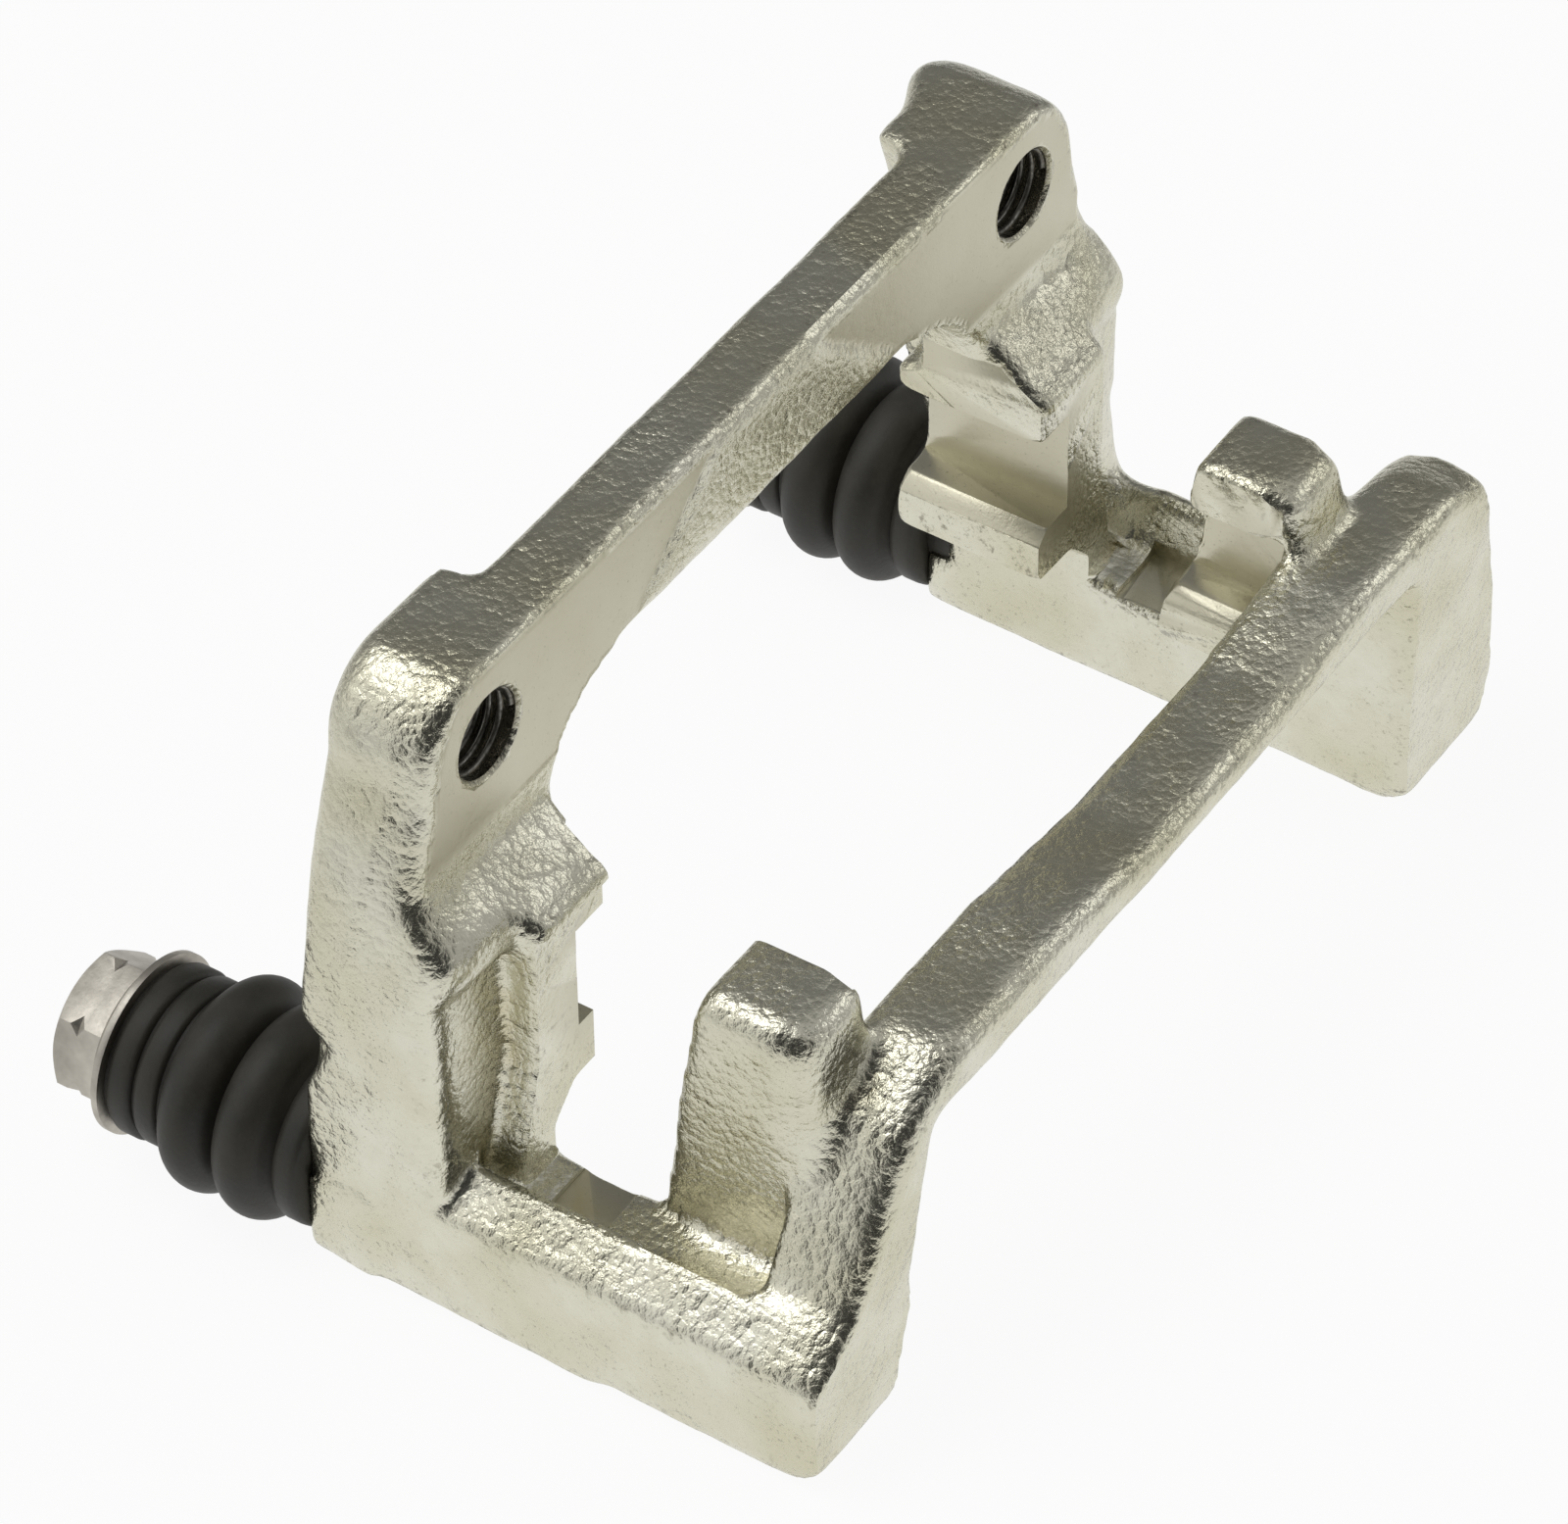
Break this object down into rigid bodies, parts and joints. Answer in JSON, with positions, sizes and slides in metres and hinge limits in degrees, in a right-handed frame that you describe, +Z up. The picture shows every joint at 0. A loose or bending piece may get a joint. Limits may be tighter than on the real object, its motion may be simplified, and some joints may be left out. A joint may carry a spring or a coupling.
{
  "type": "brake caliper bracket",
  "caption": "Cast brake caliper bracket that bolts to the wheel carrier, holds the brake pads astride the disc and carries sliding guide pins in bellows boots.",
  "frame": {"origin": "midway between the two mounting holes, on the milled mounting face", "axes": "+X along the row of mounting holes, +Y towards the guide pin heads, +Z up, away from the pin bores"},
  "size_m": [0.1632, 0.1095, 0.0909],
  "materials": {
    "plated_iron": "rough sand-cast skin, zinc plated and passivated, silvery with a faint yellow-green cast; machined faces smoother",
    "pin_steel": "dull zinc-plated steel",
    "boot_rubber": "semi-gloss moulded rubber"
  },
  "bodies": {
    "casting": {"bracket": "plated_iron"},
    "near_boot_end": {"near_boot": "boot_rubber"},
    "near_pin": {"near_guide_pin": "pin_steel"},
    "far_boot_end": {"far_boot": "boot_rubber"},
    "far_pin": {"far_guide_pin": "pin_steel"}
  },
  "joints": [
    {"name": "near_guide_slide", "type": "slide", "parent": "casting", "child": "near_boot_end", "axis": [0, 1, 0], "range_m": [-0.005, 0.006], "deforming": ["near_boot"]},
    {"name": "near_pin_turn", "type": "hinge", "parent": "near_boot_end", "child": "near_pin", "pos_m": [-0.0675, 0, -0.0658], "axis": [0, 1, 0], "continuous": true},
    {"name": "far_guide_slide", "type": "slide", "parent": "casting", "child": "far_boot_end", "axis": [0, 1, 0], "range_m": [-0.005, 0.006], "deforming": ["far_boot"]},
    {"name": "far_pin_turn", "type": "hinge", "parent": "far_boot_end", "child": "far_pin", "pos_m": [0.0675, 0, -0.0658], "axis": [0, 1, 0], "continuous": true}
  ]
}
